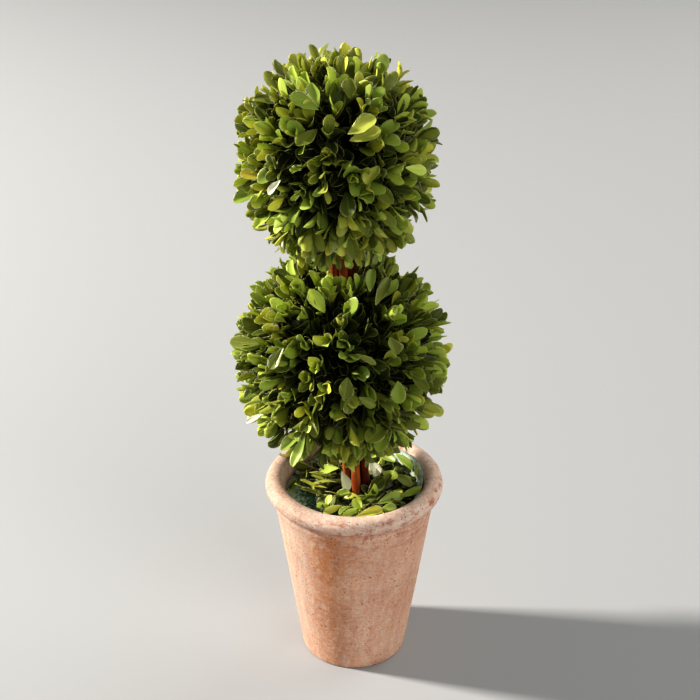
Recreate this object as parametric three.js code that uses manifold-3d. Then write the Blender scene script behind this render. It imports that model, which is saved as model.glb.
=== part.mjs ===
// A double ball boxwood topiary in a rolled-rim terracotta pot: two clipped balls of preserved
// boxwood sprigs, one above the other, on a bundle of four red-barked sticks that stands in a
// plug of floral foam strewn with loose leaves.
//
// Millimetres, +Z up, seen from the front along +Y. The origin is the middle of the pot's foot.

import * as THREE from "three";
import { mergeVertices } from "three/addons/utils/BufferGeometryUtils.js";
import Module from "manifold-3d";

const wasm = await Module();
wasm.setup();

// Driving dimensions of the pot.
const CLEAR = 0.3; // gap kept between pieces that touch
const POT_FOOT_RADIUS = 43.4;
const POT_TAPER = 0.1443; // outward run of the wall for each millimetre of height
const POT_WALL = 8.4; // thickness at the foot
const POT_WALL_GAIN = 0.008; // how much thicker the wall gets for each millimetre of height
const POT_FLOOR = 9;
const FLOOR_FILLET = 3; // between the floor and the wall, inside
const FOOT_ROUNDING = 2.6;
const RIM_OUTER_RADIUS = 71.5;
const RIM_ROLL_RADIUS = 7.6; // half the thickness of the rolled rim
const RIM_ROLL_HEIGHT = 157.6; // middle of the roll
const RIM_ROLL_START = -75; // angle at which the roll leaves the wall, in degrees
const FILLET_DEPTH = 4; // height of the soft fillet under the roll
const FILLET_SWELL = 0.3; // how much the fillet widens the wall, just under the roll
const FILLET_SWELL_DEPTH = 1; // how far under the roll that is
const ROUND_SIDES = 42; // sides of a turned piece

// Driving dimensions of the foam and of the loose leaves that lie on it.
const FOAM_TOP = 147.5;
const FOAM_DISH_RADIUS = 47;
const FOAM_EDGE_RISE = 6; // the foam climbs the wall round its dished top
const FOAM_EDGE_WIDTH = 1.6; // flat top of that raised edge
const FOAM_HIGH_SIDE = 25; // the plug sits askew: direction of its highest edge, in degrees
const FOAM_HIGH_RISE = 9.5; // how much higher the edge stands there
const FOAM_LOW_SHARE = -0.4; // how far the opposite edge sinks, as a share of that rise
const LITTER_RADIUS = 46;
const LITTER_THICKNESS = 1.8;
const LITTER_EDGE = 1.5; // slope at the layer's outer edge
const LITTER_LEAVES = 50;
const LITTER_LEAF_LENGTH = [17, 22];
const LITTER_LEAF_WIDTH = [9, 12];
const LITTER_LEAF_RISE = [0.15, 0.45]; // slope of a leaf that lies loose, in radians
const LITTER_LEAF_ROLL = 0.8; // turn of a loose leaf about its own length, in radians
const LITTER_LEAF_SUNK = 1.2; // how far a loose leaf's root reaches into the layer
const LITTER_INNER_RADIUS = 13; // no leaf is rooted closer in than this, where the sticks stand
const LITTER_OUTER_RADIUS = 38;

// Driving dimensions of the bundle of sticks.
const STICK_BOTTOM = 62;
const STICK_TOP = 448;
const STICK_FOOT_RADIUS = 4.15;
const STICK_TIP_RADIUS = 3.5;
const BUNDLE_NARROWING = 0.87; // how much closer the sticks lie at the top than at the foot
const STICK_SIDES = 9;
const STICK_STEPS = 10;
const STICK_LEAN = 0.048; // sideways run, to the left, for each millimetre of height
const BUNDLE_START = 8.5; // where the bundle's middle would meet the ground, right of the pot's middle
const STICK_BOW = [0.7, 0.56]; // how far the bundle bows off its straight line, across and deep
const STICK_BOW_TURN = 288; // how far round its wave the bow runs from foot to tip, in degrees
const STICK_PLACES = {
  stick_front: [0.2, -4.7],
  stick_right: [7.2, 0.3],
  stick_back: [-0.3, 4.7],
  stick_left: [-7.2, -0.4],
};
const CHANNEL_HALF_WIDTH = 11.9;
const CHANNEL_HALF_DEPTH = 9.4;
const CHANNEL_SIDES = 14;
const CHANNEL_STEP = 40; // longest straight run of the hole that the bundle stands in
const CHANNEL_OVERRUN = 5; // how far a hole that goes through runs past the piece

// Driving dimensions of the two balls. width and height are the radii that the leaf tips reach.
// hollow shapes the side that faces the other ball: that way up or down, how far the leaf tips
// reach beside the sticks, and how that reach grows with the distance from the sticks.
const BALLS = {
  ball_lower: {
    middle: [-9.5, 0, 272],
    width: 87.5,
    height: 87,
    hollow: { way: 1, reach: 72, slope: 0.38 },
    sprigs: 72,
    seed: 3,
  },
  ball_upper: {
    middle: [-13.3, 0, 432],
    width: 77.5,
    height: 80.5,
    hollow: { way: -1, reach: 84, slope: -0.22 },
    sprigs: 62,
    seed: 11,
  },
};
const FULLNESS = 2.4; // how full the clipped shoulders are: 2 would be a true sphere
const OUTLINE_SLACK = 0.001; // share of a ball's radius by which a leaf may pass its outline
const CORE_SHARE = 0.82; // radius of a ball's core, as a share of the reach of its leaf tips
const CORE_DETAIL = 3; // how often each side of the core's twenty faces is cut
const LEAVES_PER_SPRIG = 3;
const LEAF_REACH = [0.95, 1]; // how far out a leaf's tip lies, as a share of the ball's radius
const LEAF_SHAPE = [0.5, 0.6]; // a leaf's width as a share of its length
const LEAF_THICKNESS = 1.1;
const LEAF_CUPPING = 0.9; // how far a leaf's side edges lie below its midrib
const LEAF_WIDEST = 0.62; // share of the length at which the leaf is widest
const LEAF_SUNK = 7; // how far a leaf's root reaches into the core
const LEAF_SPREAD = [0.3, 0.95]; // angle between a leaf and its sprig, in radians
const LEAF_ROLL = 0.9; // turn of a leaf about its own length, in radians
const WHORL_STRAY = 0.6; // how far a leaf may stray from its even place round the twig
const SPRIG_STRAY = 0.16; // how far a sprig may stray from straight outwards, in radians
const TWIG_RADIUS = 1.3;
const TWIG_STOPS_SHORT = 6; // distance from a twig's tip to the ball's outline
const ASKEW = new THREE.Vector3(0.36, 0.48, 0.8); // a direction along which no sprig grows
const GOLDEN_ANGLE = Math.PI * (3 - Math.sqrt(5));

// A number from 0 to 1 that depends only on its two whole numbers, so a plant is always the same.
function chance(index, channel) {
  const wave = Math.sin(index * 12.9898 + channel * 78.233) * 43758.5453;
  return wave - Math.floor(wave);
}

function between([low, high], share) {
  return low + (high - low) * share;
}

// Solids and meshes.

function solidOf(geometry) {
  const bare = geometry.index ? geometry : geometry.clone();
  for (const name of Object.keys(bare.attributes)) {
    if (name !== "position") bare.deleteAttribute(name);
  }
  const merged = mergeVertices(bare, 1e-4);
  return new wasm.Manifold(
    new wasm.Mesh({
      numProp: 3,
      vertProperties: new Float32Array(merged.attributes.position.array),
      triVerts: new Uint32Array(merged.index.array),
    }),
  );
}

function meshOf(corners, faces) {
  const positions = corners.flatMap((p) => p.toArray());
  const geometry = new THREE.BufferGeometry();
  geometry.setAttribute("position", new THREE.Float32BufferAttribute(positions, 3));
  geometry.setIndex(faces);
  return geometry;
}

function geometryOf(solid) {
  const mesh = solid.getMesh();
  const geometry = new THREE.BufferGeometry();
  geometry.setAttribute("position", new THREE.BufferAttribute(mesh.vertProperties, 3));
  geometry.setIndex(new THREE.BufferAttribute(mesh.triVerts, 1));
  geometry.computeVertexNormals();
  return geometry;
}

function pieceOf(name, geometry, material) {
  const mesh = new THREE.Mesh(geometry, material);
  mesh.name = name;
  return mesh;
}

// A solid turned about the Z axis from a list of [radius, height] points that starts and ends on it.
function turned(profile) {
  const points = profile.map(([r, z]) => new THREE.Vector2(r, z));
  return new THREE.LatheGeometry(points, ROUND_SIDES).rotateX(Math.PI / 2);
}

// Points of an arc in a turned profile, from one angle to another, in degrees.
function arc([r, z], radius, from, to, steps) {
  const points = [];
  for (let i = 0; i <= steps; i += 1) {
    const angle = THREE.MathUtils.degToRad(from + ((to - from) * i) / steps);
    points.push([r + radius * Math.cos(angle), z + radius * Math.sin(angle)]);
  }
  return points;
}

// The pot: a tapering terracotta wall that ends in a rolled rim.

const wallRadius = (z) => POT_FOOT_RADIUS + POT_TAPER * z;
const innerRadius = (z) => wallRadius(z) - POT_WALL - POT_WALL_GAIN * z;

function makePot() {
  const rollMiddle = [RIM_OUTER_RADIUS - RIM_ROLL_RADIUS, RIM_ROLL_HEIGHT];
  const rollFoot = RIM_ROLL_HEIGHT - RIM_ROLL_RADIUS;
  const footMiddle = [wallRadius(FOOT_ROUNDING) - FOOT_ROUNDING, FOOT_ROUNDING];
  const profile = [
    [0, 0],
    ...arc(footMiddle, FOOT_ROUNDING, -90, 0, 3),
    [wallRadius(rollFoot * 0.5), rollFoot * 0.5],
    [wallRadius(rollFoot - FILLET_DEPTH), rollFoot - FILLET_DEPTH],
    [wallRadius(rollFoot - FILLET_SWELL_DEPTH) + FILLET_SWELL, rollFoot - FILLET_SWELL_DEPTH],
    ...arc(rollMiddle, RIM_ROLL_RADIUS, RIM_ROLL_START, 180, 11),
    [innerRadius(rollFoot), rollFoot],
    [innerRadius(POT_FLOOR + FLOOR_FILLET), POT_FLOOR + FLOOR_FILLET],
    [innerRadius(POT_FLOOR) - FLOOR_FILLET, POT_FLOOR],
    [0, POT_FLOOR],
  ];
  const terracotta = new THREE.MeshStandardMaterial({ color: 0xd6b39a, roughness: 0.92, metalness: 0 });
  return pieceOf("pot", turned(profile), terracotta);
}

// The sticks: four slender tapering stems side by side, which lean to the left together.

function bundleMiddle(z) {
  const share = (z - STICK_BOTTOM) / (STICK_TOP - STICK_BOTTOM);
  const bow = Math.sin(THREE.MathUtils.degToRad(STICK_BOW_TURN) * share);
  return [BUNDLE_START - STICK_LEAN * z + STICK_BOW[0] * bow, STICK_BOW[1] * bow];
}

// How closely the sticks lie together at a height, as a share of their spacing at the foot.
function bundleSize(z) {
  return THREE.MathUtils.mapLinear(z, STICK_BOTTOM, STICK_TOP, 1, BUNDLE_NARROWING);
}

class BundlePath extends THREE.Curve {
  constructor(from, to, offset) {
    super();
    this.from = from;
    this.to = to;
    this.offset = offset;
  }

  getPoint(t, target = new THREE.Vector3()) {
    const z = this.from + (this.to - this.from) * t;
    const [x, y] = bundleMiddle(z);
    const size = bundleSize(z);
    return target.set(x + this.offset[0] * size, y + this.offset[1] * size, z);
  }
}

// Rings of points up a path, closed at both ends: section(z, angle) gives a point beside the path.
function sweptTube(path, steps, sides, section) {
  const corners = [];
  const faces = [];
  for (let s = 0; s <= steps; s += 1) {
    const middle = path.getPoint(s / steps);
    for (let i = 0; i < sides; i += 1) {
      const [dx, dy] = section(middle.z, (2 * Math.PI * i) / sides);
      corners.push(new THREE.Vector3(middle.x + dx, middle.y + dy, middle.z));
    }
  }
  for (let s = 0; s < steps; s += 1) {
    for (let i = 0; i < sides; i += 1) {
      const a = s * sides + i;
      const b = s * sides + ((i + 1) % sides);
      faces.push(a, b, b + sides, a, b + sides, a + sides);
    }
  }
  for (let i = 1; i < sides - 1; i += 1) {
    faces.push(0, i + 1, i);
    faces.push(steps * sides, steps * sides + i, steps * sides + i + 1);
  }
  return meshOf(corners, faces);
}

function makeStick(name, offset) {
  const path = new BundlePath(STICK_BOTTOM, STICK_TOP, offset);
  const { mapLinear } = THREE.MathUtils;
  const radius = (z) => mapLinear(z, STICK_BOTTOM, STICK_TOP, STICK_FOOT_RADIUS, STICK_TIP_RADIUS);
  const section = (z, angle) => [radius(z) * Math.cos(angle), radius(z) * Math.sin(angle)];
  const bark = new THREE.MeshStandardMaterial({ color: 0x7a3320, roughness: 0.5, metalness: 0 });
  return pieceOf(name, sweptTube(path, STICK_STEPS, STICK_SIDES, section), bark);
}

// The hole that the bundle stands in, from one height to another: an oval round all four sticks.
function channel(from, to) {
  const path = new BundlePath(from, to, [0, 0]);
  const section = (z, angle) => [
    CHANNEL_HALF_WIDTH * bundleSize(z) * Math.cos(angle),
    CHANNEL_HALF_DEPTH * bundleSize(z) * Math.sin(angle),
  ];
  const steps = Math.max(2, Math.round((to - from) / CHANNEL_STEP));
  return solidOf(sweptTube(path, steps, CHANNEL_SIDES, section));
}

// A leaf: eight faces between a root, a tip, two cupped side corners and a ridge on each face.
// It points along one direction and its width runs along another.
function leafSolid(root, along, across, length, width) {
  const up = new THREE.Vector3().crossVectors(along, across).normalize();
  const at = (a, b, c) => {
    const point = root.clone().addScaledVector(along, a * length);
    return point.addScaledVector(across, b * width).addScaledVector(up, c);
  };
  const corners = [
    at(0, 0, 0),
    at(1, 0, 0),
    at(LEAF_WIDEST, 0.5, -LEAF_CUPPING),
    at(LEAF_WIDEST, -0.5, -LEAF_CUPPING),
    at(LEAF_WIDEST, 0, LEAF_THICKNESS * 0.5),
    at(LEAF_WIDEST, 0, -LEAF_THICKNESS * 0.5 - LEAF_CUPPING),
  ];
  const faces = [0, 3, 4, 3, 1, 4, 1, 2, 4, 2, 0, 4, 3, 0, 5, 1, 3, 5, 2, 1, 5, 0, 2, 5];
  return { solid: solidOf(meshOf(corners, faces)), corners: corners.slice(1) };
}

// A twig: three faces that run from inside the core to a point.
function twigSolid(foot, tip) {
  const along = tip.clone().sub(foot).normalize();
  const side = ASKEW.clone().cross(along).normalize();
  const corners = [tip];
  for (let i = 0; i < 3; i += 1) {
    const arm = side.clone().applyAxisAngle(along, (2 * Math.PI * i) / 3);
    corners.push(foot.clone().addScaledVector(arm, TWIG_RADIUS));
  }
  return solidOf(meshOf(corners, [0, 1, 2, 0, 2, 3, 0, 3, 1, 1, 3, 2]));
}

// Direction of a sprig: even steps of the golden angle over the ball, each a little astray.
function sprigDirection(i, count, seed) {
  const height = 1 - (2 * (i + 0.5)) / count;
  const round = Math.sqrt(1 - height * height);
  const turn = i * GOLDEN_ANGLE + seed;
  const way = new THREE.Vector3(round * Math.cos(turn), round * Math.sin(turn), height);
  const [dx, dy, dz] = [0, 1, 2].map((draw) => chance(i, seed + draw) - 0.5);
  return way.addScaledVector(new THREE.Vector3(dx, dy, dz), 2 * SPRIG_STRAY).normalize();
}

// How far out in a ball a point lies, given from the ball's middle: 1 on the outline that the
// leaf tips reach.
function reach({ x, y, z }, { width, height, hollow }) {
  const away = Math.hypot(x, y);
  const clipped = ((away / width) ** FULLNESS + (Math.abs(z) / height) ** FULLNESS) ** (1 / FULLNESS);
  return Math.max(clipped, (hollow.way * z - hollow.slope * away) / hollow.reach);
}

function nearSticks(point) {
  const [x, y] = bundleMiddle(point.z);
  const size = bundleSize(point.z);
  const across = (point.x - x) / (CHANNEL_HALF_WIDTH * size + CLEAR);
  const deep = (point.y - y) / (CHANNEL_HALF_DEPTH * size + CLEAR);
  return Math.hypot(across, deep) < 1 && point.z < STICK_TOP + CLEAR;
}

// Length of a leaf that starts at a root inside a ball, given from the ball's middle, runs along a
// direction and ends at a share of the ball's reach.
function lengthTo(share, root, along, ball) {
  let inside = 0;
  let outside = 2 * ball.width;
  while (outside - inside > OUTLINE_SLACK) {
    const length = (inside + outside) / 2;
    if (reach(root.clone().addScaledVector(along, length), ball) < share) inside = length;
    else outside = length;
  }
  return inside;
}

// A sprig, given from the ball's middle: a twig straight out of the core with a whorl of leaves.
function sprigOf(ball, i) {
  const { sprigs, seed } = ball;
  const middle = new THREE.Vector3(...ball.middle);
  const way = sprigDirection(i, sprigs, seed);
  const outline = 1 / reach(way, ball);
  const root = way.clone().multiplyScalar(outline * CORE_SHARE - LEAF_SUNK);
  const side = ASKEW.clone().cross(way).normalize();
  const pieces = [];
  const twigFoot = root.clone().add(middle);
  const twigTip = middle.clone().addScaledVector(way, outline - TWIG_STOPS_SHORT);
  if (!nearSticks(twigTip)) pieces.push(twigSolid(twigFoot, twigTip));
  for (let k = 0; k < LEAVES_PER_SPRIG; k += 1) {
    const draw = i * LEAVES_PER_SPRIG + k;
    const round = (2 * Math.PI * (k + WHORL_STRAY * chance(draw, seed + 4))) / LEAVES_PER_SPRIG + i;
    const arm = side.clone().applyAxisAngle(way, round);
    const spread = between(LEAF_SPREAD, chance(draw, seed + 5));
    const along = way.clone().multiplyScalar(Math.cos(spread)).addScaledVector(arm, Math.sin(spread));
    const across = new THREE.Vector3().crossVectors(arm, along).normalize();
    across.applyAxisAngle(along, LEAF_ROLL * (chance(draw, seed + 6) - 0.5));
    const length = lengthTo(between(LEAF_REACH, chance(draw, seed + 7)), root, along, ball);
    const width = length * between(LEAF_SHAPE, chance(draw, seed + 8));
    const leaf = leafSolid(twigFoot, along, across, length, width);
    const strays = leaf.corners.some((p) => reach(p.clone().sub(middle), ball) > 1 + OUTLINE_SLACK);
    const touches = leaf.corners.some((p) => nearSticks(p));
    if (!strays && !touches) pieces.push(leaf.solid);
  }
  return pieces;
}

// Joins neighbours in pairs until one solid is left.
function joined(solids) {
  let left = solids;
  while (left.length > 1) {
    const next = [];
    for (let i = 0; i < left.length; i += 2) {
      next.push(i + 1 < left.length ? left[i].add(left[i + 1]) : left[i]);
    }
    left = next;
  }
  return left[0];
}

// The largest of the pieces that a cut leaves, without the scraps.
function largestPiece(solid) {
  return solid.decompose().sort((a, b) => b.volume() - a.volume())[0];
}

// A ball's core, in the same form as the ball.
function coreSolid(ball) {
  const geometry = new THREE.IcosahedronGeometry(1, CORE_DETAIL);
  const places = geometry.attributes.position;
  const point = new THREE.Vector3();
  for (let i = 0; i < places.count; i += 1) {
    point.fromBufferAttribute(places, i);
    point.multiplyScalar(CORE_SHARE / reach(point, ball));
    places.setXYZ(i, point.x, point.y, point.z);
  }
  return solidOf(geometry.translate(...ball.middle));
}

// A ball: a foam core with sprigs standing out of it all round, and a hole for the sticks that
// goes up to a height.
function makeBall(name, ball, topOfHole) {
  const pieces = [coreSolid(ball)];
  for (let i = 0; i < ball.sprigs; i += 1) pieces.push(...sprigOf(ball, i));
  const hole = channel(ball.middle[2] - ball.height - CHANNEL_OVERRUN, topOfHole);
  const main = largestPiece(joined(pieces).subtract(hole));
  const foliage = new THREE.MeshStandardMaterial({ color: 0x5f7a26, roughness: 0.6, metalness: 0 });
  return pieceOf(name, geometryOf(main), foliage);
}

// The foam: a plug that fills the pot, dished on top, with a hole for the bundle.
function makeFoam() {
  const bottom = POT_FLOOR + CLEAR;
  const edge = FOAM_TOP + FOAM_EDGE_RISE;
  const side = (z) => innerRadius(z) - CLEAR;
  const shoulder = edge - FOAM_EDGE_RISE / 2;
  const rimRadius = side(shoulder) - 2 * CLEAR;
  const profile = [
    [0, bottom],
    [side(POT_FLOOR) - FLOOR_FILLET - 2 * CLEAR, bottom],
    [side(POT_FLOOR + FLOOR_FILLET), bottom + FLOOR_FILLET],
    [side(shoulder), shoulder],
    [rimRadius, edge],
    [rimRadius - FOAM_EDGE_WIDTH, edge],
    [FOAM_DISH_RADIUS, FOAM_TOP],
    [0, FOAM_TOP],
  ];
  const geometry = turned(profile);
  const places = geometry.attributes.position;
  const highSide = THREE.MathUtils.degToRad(FOAM_HIGH_SIDE);
  for (let i = 0; i < places.count; i += 1) {
    const facing = Math.cos(Math.atan2(places.getY(i), places.getX(i)) - highSide);
    const rise = FOAM_HIGH_RISE * Math.max(facing, FOAM_LOW_SHARE);
    if (places.getZ(i) > edge - CLEAR) places.setZ(i, edge + rise);
  }
  const plug = solidOf(geometry).subtract(channel(STICK_BOTTOM - CLEAR, edge + CHANNEL_OVERRUN));
  const foam = new THREE.MeshStandardMaterial({ color: 0x2b4a3e, roughness: 0.95, metalness: 0 });
  return pieceOf("foam_plug", geometryOf(plug), foam);
}

// The loose leaves: a thin layer on the foam with single leaves lying on it at all angles.
function makeLitter() {
  const bottom = FOAM_TOP + CLEAR;
  const top = bottom + LITTER_THICKNESS;
  const layer = turned([[0, bottom], [LITTER_RADIUS, bottom], [LITTER_RADIUS - LITTER_EDGE, top], [0, top]]);
  const pieces = [solidOf(layer)];
  for (let i = 0; i < LITTER_LEAVES; i += 1) {
    const turn = i * GOLDEN_ANGLE;
    const out = between([LITTER_INNER_RADIUS, LITTER_OUTER_RADIUS], Math.sqrt((i + 0.5) / LITTER_LEAVES));
    const root = new THREE.Vector3(out * Math.cos(turn), out * Math.sin(turn), top - LITTER_LEAF_SUNK);
    const heading = 2 * Math.PI * chance(i, 31);
    const rise = between(LITTER_LEAF_RISE, chance(i, 32));
    const along = new THREE.Vector3(Math.cos(heading), Math.sin(heading), Math.tan(rise)).normalize();
    const across = new THREE.Vector3(-Math.sin(heading), Math.cos(heading), 0);
    across.applyAxisAngle(along, LITTER_LEAF_ROLL * (chance(i, 33) - 0.5));
    const length = between(LITTER_LEAF_LENGTH, chance(i, 34));
    const leaf = leafSolid(root, along, across, length, between(LITTER_LEAF_WIDTH, chance(i, 35)));
    const stays = leaf.corners.every(
      (p) => Math.hypot(p.x, p.y) < LITTER_RADIUS && p.z > bottom && !nearSticks(p),
    );
    if (stays) pieces.push(leaf.solid);
  }
  const hole = channel(bottom - CHANNEL_OVERRUN, top + LITTER_LEAF_LENGTH[1]);
  const main = largestPiece(joined(pieces).subtract(hole));
  const loose = new THREE.MeshStandardMaterial({ color: 0x8ca03a, roughness: 0.6, metalness: 0 });
  return pieceOf("loose_leaves", geometryOf(main), loose);
}

const topiary = new THREE.Group();
topiary.add(makePot(), makeFoam(), makeLitter());
for (const [name, offset] of Object.entries(STICK_PLACES)) topiary.add(makeStick(name, offset));
const lowerTop = BALLS.ball_lower.middle[2] + BALLS.ball_lower.height;
topiary.add(makeBall("ball_lower", BALLS.ball_lower, lowerTop + CHANNEL_OVERRUN));
topiary.add(makeBall("ball_upper", BALLS.ball_upper, STICK_TOP + CLEAR));

export default topiary;
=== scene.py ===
"""A potted double ball boxwood topiary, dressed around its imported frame.

Blender units are metres. Sizes are written in millimetres and turned by MM.
"""

import math
from functools import partial

import bpy
import numpy as np
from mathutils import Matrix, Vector


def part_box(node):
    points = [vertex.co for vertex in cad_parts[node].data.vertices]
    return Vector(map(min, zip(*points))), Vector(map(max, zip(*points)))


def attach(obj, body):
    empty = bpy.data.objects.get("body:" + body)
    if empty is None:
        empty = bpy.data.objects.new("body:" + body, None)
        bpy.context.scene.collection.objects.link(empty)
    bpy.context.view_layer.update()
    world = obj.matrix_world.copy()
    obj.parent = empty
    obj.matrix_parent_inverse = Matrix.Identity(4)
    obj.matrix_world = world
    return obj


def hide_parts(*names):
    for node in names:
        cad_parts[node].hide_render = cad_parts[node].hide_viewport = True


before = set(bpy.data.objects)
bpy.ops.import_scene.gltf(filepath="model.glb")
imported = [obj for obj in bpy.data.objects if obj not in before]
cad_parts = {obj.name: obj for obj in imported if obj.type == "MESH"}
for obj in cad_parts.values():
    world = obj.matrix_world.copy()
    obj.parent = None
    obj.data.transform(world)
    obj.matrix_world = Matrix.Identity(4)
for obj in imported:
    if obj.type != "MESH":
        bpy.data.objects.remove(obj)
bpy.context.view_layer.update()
MM = 0.001

# The camera. A 72 mm lens on a 36 mm frame, a little over a metre away and looking 28 degrees
# down, which shows the rim of the pot as an open ellipse and the topiary leaning to the left.
CAMERA_PLACE = Vector((-3.3, -946.7, 780.2)) * MM
CAMERA_PITCH = math.radians(28)

camera_lens = bpy.data.cameras.new("camera")
camera_lens.lens = 72
camera_lens.sensor_width = 36
camera = bpy.data.objects.new("camera", camera_lens)
camera.location = CAMERA_PLACE
camera.rotation_euler = (math.pi / 2 - CAMERA_PITCH, 0, 0)
bpy.context.scene.collection.objects.link(camera)
bpy.context.scene.camera = camera


# The pot. Terracotta thrown on a wheel: a thick wall that widens upwards and was folded outwards
# at the top into a round rolled rim. It stands on its flat foot, and everything stands in it.
POT_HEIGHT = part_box("pot")[1].z / MM
POT_FOOT_RADIUS = 43.4
POT_TAPER = 0.1443
POT_WALL = 8.4
POT_FLOOR = 9
FOOT_ROUNDING = 2.6
RIM_OUTER_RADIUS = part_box("pot")[1].y / MM
RIM_ROLL_RADIUS = 7.6
RIM_ROLL_HEIGHT = POT_HEIGHT - RIM_ROLL_RADIUS
RIM_ROLL_FOOT = RIM_ROLL_HEIGHT - RIM_ROLL_RADIUS
# The soft collar under the roll, and the fillet where the wall runs into the roll.
COLLAR_HEIGHT = 142.5
COLLAR_SWELL = 0.55
COLLAR_SPREAD = 2.6
FILLET_SWELL = 1.5
FILLET_SPREAD = 2.4
# The wall grows this much thicker for each millimetre of height.
WALL_THICKENING = 0.008
# The unevenness that a potter's hands leave stays within the frame by this much.
POT_MARGIN = 0.36
POT_SIDES = 180


def linear(hex_colour):
    """An sRGB hex colour as the linear colour that a socket takes."""
    shares = [int(hex_colour[i : i + 2], 16) / 255 for i in (1, 3, 5)]
    levels = [s / 12.92 if s <= 0.04045 else ((s + 0.055) / 1.055) ** 2.4 for s in shares]
    return (*levels, 1.0)


def feed(node, inputs):
    """Sets a node's inputs by socket name or number: a value is written, an output is linked."""
    for socket, value in inputs.items():
        if isinstance(value, bpy.types.NodeSocket):
            node.id_data.links.new(value, node.inputs[socket])
        else:
            node.inputs[socket].default_value = value


def add_node(tree, kind, inputs, output=0, stops=(), **settings):
    """Adds a node with its settings and links, and returns one of its outputs. stops are the
    (place, colour or grey) pairs of a colour ramp, in rising order."""
    node = tree.nodes.new("ShaderNode" + kind)
    for name, value in settings.items():
        setattr(node, name, value)
    for index, (place, colour) in enumerate(stops):
        elements = node.color_ramp.elements
        element = elements[index] if index < 2 else elements.new(place)
        element.position = place
        element.color = linear(colour) if isinstance(colour, str) else (colour, colour, colour, 1)
    feed(node, inputs)
    return node.outputs[output]


def new_material(name, roughness, ior=1.45):
    """A material, its shader with the constant sockets set, and what adds a node to it."""
    material = bpy.data.materials.new(name)
    material.use_nodes = True
    shader = material.node_tree.nodes["Principled BSDF"]
    feed(shader, {"Roughness": roughness, "IOR": ior})
    return material, shader, partial(add_node, material.node_tree)


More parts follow.
